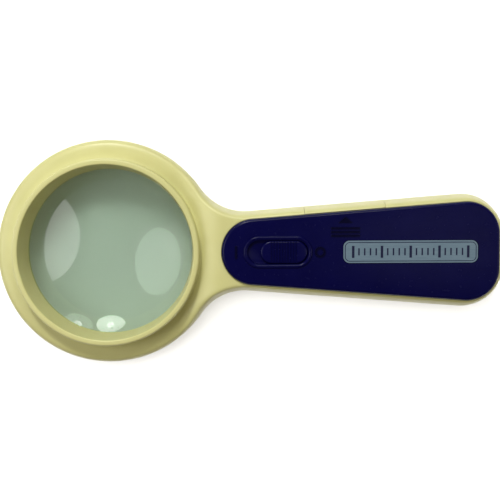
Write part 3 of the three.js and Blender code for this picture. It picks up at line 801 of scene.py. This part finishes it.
def rgb(red, green, blue):
    """A colour from sRGB values of 0 to 255."""

    def linear(value):
        value /= 255
        return value / 12.92 if value <= 0.04045 else ((value + 0.055) / 1.055) ** 2.4

    return (linear(red), linear(green), linear(blue), 1.0)


def ivory_plastic():
    m = Nodes("ivory_plastic").set(IOR=1.53, Coat_Weight=0.12, Coat_Roughness=0.18)
    patches = m.range(m.noise(90, 3), 0, 1)
    specks = m.range(m.noise(2600, 2), 0, 1, 0.66, 0.78)
    base = m.mix(patches, rgb(214, 211, 144), rgb(219, 216, 151))
    m.link(m.mix(m.math("MULTIPLY", specks, 0.18), base, rgb(196, 182, 112)), "Base Color")
    m.link(m.range(m.noise(420, 4), 0.36, 0.48), "Roughness")
    scratches = m.noise(1.0, 2, place=m.stretched((350, 2600, 1200)))
    grain = m.noise(3400, 2)
    waves = m.noise(60, 2)
    return m.bump((grain, 0.02, 0.35), (scratches, 0.01, 0.3), (waves, 0.12, 0.12)).material


def navy_plastic():
    m = Nodes("navy_plastic").set(IOR=1.5, Specular_IOR_Level=0.15)
    patches = m.range(m.noise(120, 4), 0, 1)
    base = m.mix(patches, rgb(2, 2, 58), rgb(4, 4, 63))
    dust = m.range(m.noise(1900, 3, 0.7), 0, 0.02, 0.55, 0.8)
    m.link(m.mix(dust, base, rgb(34, 36, 88)), "Base Color")
    m.link(m.range(m.noise(700, 4), 0.2, 0.28), "Roughness")
    grain = m.noise(5200, 3, 0.6)
    scuffs = m.noise(1.0, 3, place=m.stretched((260, 3000, 900)))
    return m.bump((grain, 0.01, 0.2), (scuffs, 0.01, 0.15)).material


def navy_marks_painted_shade():
    """The raised marks: the same plastic, polished, with a colour darker than the grained cover painted on
    as their shade and missing sheen.
    """
    m = Nodes("navy_marks_painted_shade").set(IOR=1.5, Specular_IOR_Level=0.1)
    m.link(m.mix(m.range(m.noise(500, 3), 0, 1), rgb(1, 1, 34), rgb(2, 2, 40)), "Base Color")
    m.link(m.range(m.noise(900, 3), 0.3, 0.4), "Roughness")
    return m.bump((m.noise(3000, 2), 0.01, 0.2)).material


def lens_acrylic():
    m = Nodes("lens_acrylic").set(IOR=1.49, Transmission_Weight=1.0)
    # A green tint of the acrylic, kept a little dark: partly the glass's own tint, partly painted shade for
    # the shaded floor seen through the lens.
    m.shader.inputs["Base Color"].default_value = (0.86, 1.0, 0.9, 1.0)
    m.link(m.range(m.noise(260, 5, 0.7), 0.0, 0.05, 0.5, 0.8), "Roughness")
    return m.bump((m.noise(30, 2), 0.02, 0.08)).material


def silver_foil():
    """A brushed plate with a thin dark frame and a printed rule of ticks."""
    m = Nodes("silver_foil").set(Metallic=0.35, IOR=1.5)
    axes = m.add("ShaderNodeSeparateXYZ", {"Vector": m.place}).outputs
    low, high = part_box("name_plate")
    middle = (low + high) / 2
    half_length = (high.x - low.x) / 2
    half_width = (high.y - low.y) / 2
    across = m.math("ABSOLUTE", m.math("SUBTRACT", axes[1], middle.y))
    lengthways = m.math("ABSOLUTE", m.math("SUBTRACT", axes[0], middle.x))
    corner = PLATE_CORNER * MM
    past_x = m.math("MAXIMUM", m.math("SUBTRACT", lengthways, half_length - corner), 0.0)
    past_y = m.math("MAXIMUM", m.math("SUBTRACT", across, half_width - corner), 0.0)
    reach = m.math("SQRT", m.math("ADD", m.math("POWER", past_x, 2.0), m.math("POWER", past_y, 2.0)))
    edge = m.math("SUBTRACT", corner, reach)
    frame_line = m.math("COMPARE", edge, 0.65 * MM, 0.13 * MM)
    brushed = m.noise(1.0, 3, 0.6, m.stretched((160, 9000, 900)))
    base = m.mix(m.range(brushed, 0, 1), rgb(106, 131, 152), rgb(132, 155, 174))
    printed = m.math("MAXIMUM", rule_ticks(m, axes, middle), frame_line)
    m.link(m.mix(printed, base, rgb(22, 28, 66)), "Base Color")
    m.link(m.range(brushed, 0.32, 0.48), "Roughness")
    return m.bump((brushed, 0.01, 0.4)).material


def rule_ticks(m, axes, middle):
    """1 on the ticks of a rule: one every 2 mm, and a longer, thicker one every 10 mm."""
    along = m.math("DIVIDE", m.math("SUBTRACT", axes[0], middle.x), 2 * MM)
    count = m.math("ROUND", along)
    off_tick = m.math("ABSOLUTE", m.math("SUBTRACT", along, count))
    tenth = m.math("COMPARE", m.math("WRAP", count, 5.0, 0.0), 0.0, 0.1)
    half_tick = m.math("ADD", 0.13, m.math("MULTIPLY", tenth, 0.09))
    on_tick = m.math("LESS_THAN", off_tick, half_tick)
    drop = m.math("ABSOLUTE", m.math("DIVIDE", m.math("SUBTRACT", axes[1], middle.y), MM))
    tall = m.math("LESS_THAN", drop, m.math("ADD", 1.25, m.math("MULTIPLY", tenth, 0.85)))
    within = m.math("LESS_THAN", m.math("ABSOLUTE", count), 10.5)
    return m.math("MULTIPLY", m.math("MULTIPLY", on_tick, tall), within)


def metal(name, low, high, roughness, stretch=(600, 600, 600), depth=0.01):
    m = Nodes(name).set(Metallic=1.0)
    streaks = m.noise(1.0, 4, 0.6, m.stretched(stretch))
    m.link(m.mix(m.range(streaks, 0, 1), low, high), "Base Color")
    m.link(m.range(streaks, roughness - 0.08, roughness + 0.1), "Roughness")
    return m.bump((streaks, depth, 0.3)).material


def plastic(name, low, high, roughness, grain=2500):
    m = Nodes(name).set(IOR=1.5)
    m.link(m.mix(m.range(m.noise(300, 3), 0, 1), low, high), "Base Color")
    m.link(m.range(m.noise(800, 3), roughness - 0.06, roughness + 0.08), "Roughness")
    return m.bump((m.noise(grain, 2), 0.015, 0.35)).material


def board_green():
    m = Nodes("board_green").set(IOR=1.5, Coat_Weight=0.3, Coat_Roughness=0.15)
    axes = m.add("ShaderNodeSeparateXYZ", {"Vector": m.place}).outputs
    weave_x = m.math("SINE", m.math("MULTIPLY", axes[0], 7000.0))
    weave_y = m.math("SINE", m.math("MULTIPLY", axes[1], 7000.0))
    weave = m.math("ADD", weave_x, weave_y)
    m.link(m.mix(m.range(weave, 0, 1, -2.0, 2.0), rgb(20, 78, 44), rgb(30, 98, 58)), "Base Color")
    m.link(m.range(m.noise(500, 3), 0.3, 0.45), "Roughness")
    return m.bump((weave, 0.01, 0.2)).material


def lamp_epoxy():
    m = Nodes("lamp_epoxy").set(IOR=1.52, Transmission_Weight=0.85)
    m.link(m.mix(m.range(m.noise(900, 2), 0, 1), rgb(238, 242, 246), rgb(250, 250, 246)), "Base Color")
    m.link(m.range(m.noise(1500, 3), 0.03, 0.12), "Roughness")
    return m.material


MATERIALS = {
    "ivory_plastic": ivory_plastic(),
    "navy_plastic": navy_plastic(),
    "navy_marks_painted_shade": navy_marks_painted_shade(),
    "lens_acrylic": lens_acrylic(),
    "silver_foil": silver_foil(),
    "black_plastic": plastic("black_plastic", rgb(22, 22, 24), rgb(34, 34, 36), 0.45),
    "phenolic": plastic("phenolic", rgb(84, 54, 28), rgb(108, 72, 40), 0.5, 1400),
    "board_green": board_green(),
    "lamp_epoxy": lamp_epoxy(),
    "plated_steel": metal("plated_steel", rgb(176, 178, 182), rgb(204, 205, 208), 0.28),
    "cell_steel": metal("cell_steel", rgb(196, 197, 198), rgb(208, 209, 211), 0.3, (900, 240, 900)),
    "contact_brass": metal("contact_brass", rgb(196, 160, 88), rgb(222, 190, 116), 0.3, (300, 2600, 900)),
    "gasket_black": plastic("gasket_black", rgb(18, 18, 18), rgb(28, 28, 28), 0.6),
    "insulation_red": plastic("insulation_red", rgb(160, 24, 22), rgb(184, 34, 30), 0.4),
    "insulation_black": plastic("insulation_black", rgb(18, 18, 20), rgb(30, 30, 32), 0.4),
}

SLOT_OF = {part["node"]: part["material_slot"] for part in frame["record"]["subparts"]}


def body_of(node):
    for body, members in frame["record"]["behaviour"]["bodies"].items():
        if node in members:
            return body
    return None


def finish_piece(obj, node):
    """Gives a fine piece the material of its node's slot and its node's body, and hides the node."""
    obj.data.materials.clear()
    obj.data.materials.append(MATERIALS[SLOT_OF[node]])
    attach(obj, body_of(node))
    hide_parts(node)
    return obj


def dress_node(node):
    obj = NODES[node]
    obj.data.materials.clear()
    obj.data.materials.append(MATERIALS[SLOT_OF[node]])
    smooth(obj, 34)


# ---- Building ----


def build_housings():
    front = front_solid("front_housing_shell")
    rear = rear_solid("rear_housing_shell")
    drawer = battery_drawer(copy_of(front), rear_solid("rear_whole", PARTING_Z + 0.02))
    finish_piece(smooth(drawer), "battery_drawer")
    finish_piece(smooth(front_housing(front)), "front_housing")
    finish_piece(smooth(rear_housing(rear)), "rear_housing")


def build_front_pieces():
    finish_piece(smooth(handle_cover(), 38), "handle_cover")
    finish_piece(smooth(name_plate()), "name_plate")
    finish_piece(smooth(switch_knob(), 30), "switch_knob")
    finish_piece(smooth(lens_body(), 20), "lens")
    marks = smooth(cover_marks())
    # The marks take the navy with painted shade: a darker colour standing in for their shadow and missing
    # sheen.
    marks.data.materials.clear()
    marks.data.materials.append(MATERIALS["navy_marks_painted_shade"])
    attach(marks, body_of("handle_cover"))


build_housings()
build_front_pieces()
for name in NODES:
    dress_node(name)

# ---- Floor, light and camera ----


def floor():
    """White paper a hair below the back, so that the two surfaces never fall together."""
    size = 3.0
    z = STAGE_Z * MM
    mesh = bpy.data.meshes.new("floor")
    corners = [(-size, -size, z), (size, -size, z), (size, size, z), (-size, size, z)]
    mesh.from_pydata(corners, [], [(0, 1, 2, 3)])
    obj = bpy.data.objects.new("floor", mesh)
    bpy.context.scene.collection.objects.link(obj)
    m = Nodes("floor_paper").set(Roughness=0.9)
    patches = m.range(m.noise(40, 3), 0, 1)
    m.link(m.mix(patches, (0.82, 0.82, 0.82, 1), (0.85, 0.85, 0.85, 1)), "Base Color")
    mesh.materials.append(m.material)
    obj.visible_diffuse = False
    return obj


def area_light(name, place, target, size, energy, color=(1, 1, 1), shape="RECTANGLE"):
    data = bpy.data.lights.new(name, "AREA")
    data.shape = shape
    data.size, data.size_y = size
    data.energy = energy
    data.color = color
    obj = bpy.data.objects.new(name, data)
    obj.location = place
    obj.rotation_euler = (Vector(target) - Vector(place)).to_track_quat("-Z", "Y").to_euler()
    bpy.context.scene.collection.objects.link(obj)
    return obj


def lamp_at(name, azimuth, elevation, distance, *settings):
    """An area light in a direction from the lens: azimuth from +Y towards +X, in degrees."""
    turn = math.radians(azimuth)
    rise = math.radians(elevation)
    way = Vector((math.sin(turn) * math.cos(rise), math.cos(turn) * math.cos(rise), math.sin(rise)))
    lens = Vector((LENS_X, 0, EDGE_Z[1])) * MM
    return area_light(name, lens + way * distance, (LENS_X * MM / 2, 0, 0), *settings)


def floor_wash(floor_obj):
    """Brightens the floor alone, so that the shadows on it stay pale."""
    wash = area_light("floor_wash", (0, 0, 2.6), (0, 0, 0), (3.0, 3.0), 95.0)
    receivers = bpy.data.collections.new("floor_wash_receivers")
    receivers.objects.link(floor_obj)
    wash.light_linking.receiver_collection = receivers
    wash.data.cycles.use_multiple_importance_sampling = False


# Name, azimuth, and the watts of the reflector and of the bulb in it.
KEYS = (("key_left", -12.4, 1.5, 1.15), ("key_right", 14.8, 0.45, 0.35))
KEY_ELEVATION = 46.3
KEY_COLOR = (1, 1, 0.96)

# Name, azimuth, elevation, distance, size, watts and colour.
FILLS = (
    ("left", -86, 50, 0.45, 0.3, 0.68, (1, 1, 1)),
    ("right", 88, 68, 0.9, 0.3, 0.12, (1, 1, 1)),
    ("right_low", 94, 33, 1.0, 0.5, 0.95, (1, 0.97, 0.85)),
    ("low", 10, 14, 1.2, 0.6, 0.8, (0.75, 1, 0.85)),
)


def lights():
    """Two keys, each a small bright lamp in a dimmer reflector, and softer fill from the sides."""
    for name, azimuth, reflector, bulb in KEYS:
        lamp_at(name, azimuth, KEY_ELEVATION, 0.75, (0.22, 0.22), reflector, KEY_COLOR, "DISK")
        lamp_at(name + "_bulb", azimuth, KEY_ELEVATION, 0.74, (0.06, 0.06), bulb, KEY_COLOR, "DISK")
    for name, azimuth, elevation, distance, size, energy, color in FILLS:
        lamp_at(name, azimuth, elevation, distance, (size, size), energy, color, "DISK")
    world = bpy.data.worlds.new("studio")
    world.use_nodes = True
    background = world.node_tree.nodes["Background"]
    background.inputs["Color"].default_value = (1.0, 0.87, 0.64, 1.0)
    background.inputs["Strength"].default_value = 0.16
    bpy.context.scene.world = world


def camera():
    """Nearly straight above, a little towards the drawer's side; the part's length fills the frame."""
    data = bpy.data.cameras.new("camera")
    data.sensor_width = 36.0
    data.lens = data.sensor_width * CAMERA_DISTANCE / (2 * END_X)
    obj = bpy.data.objects.new("camera", data)
    place = Vector((0, 19.0, CAMERA_AIM_Z + CAMERA_DISTANCE)) * MM
    target = Vector((0, 0.14, CAMERA_AIM_Z)) * MM
    away = (place - target).normalized()
    roll = math.radians(-0.25)
    right = Vector((math.cos(roll), math.sin(roll), 0))
    right = (right - away * right.dot(away)).normalized()
    axes = Matrix((right, away.cross(right), away)).transposed()
    obj.matrix_world = Matrix.Translation(place) @ axes.to_4x4()
    bpy.context.scene.collection.objects.link(obj)
    bpy.context.scene.camera = obj


floor_wash(floor())
lights()
camera()
bpy.context.scene.view_settings.view_transform = "Standard"
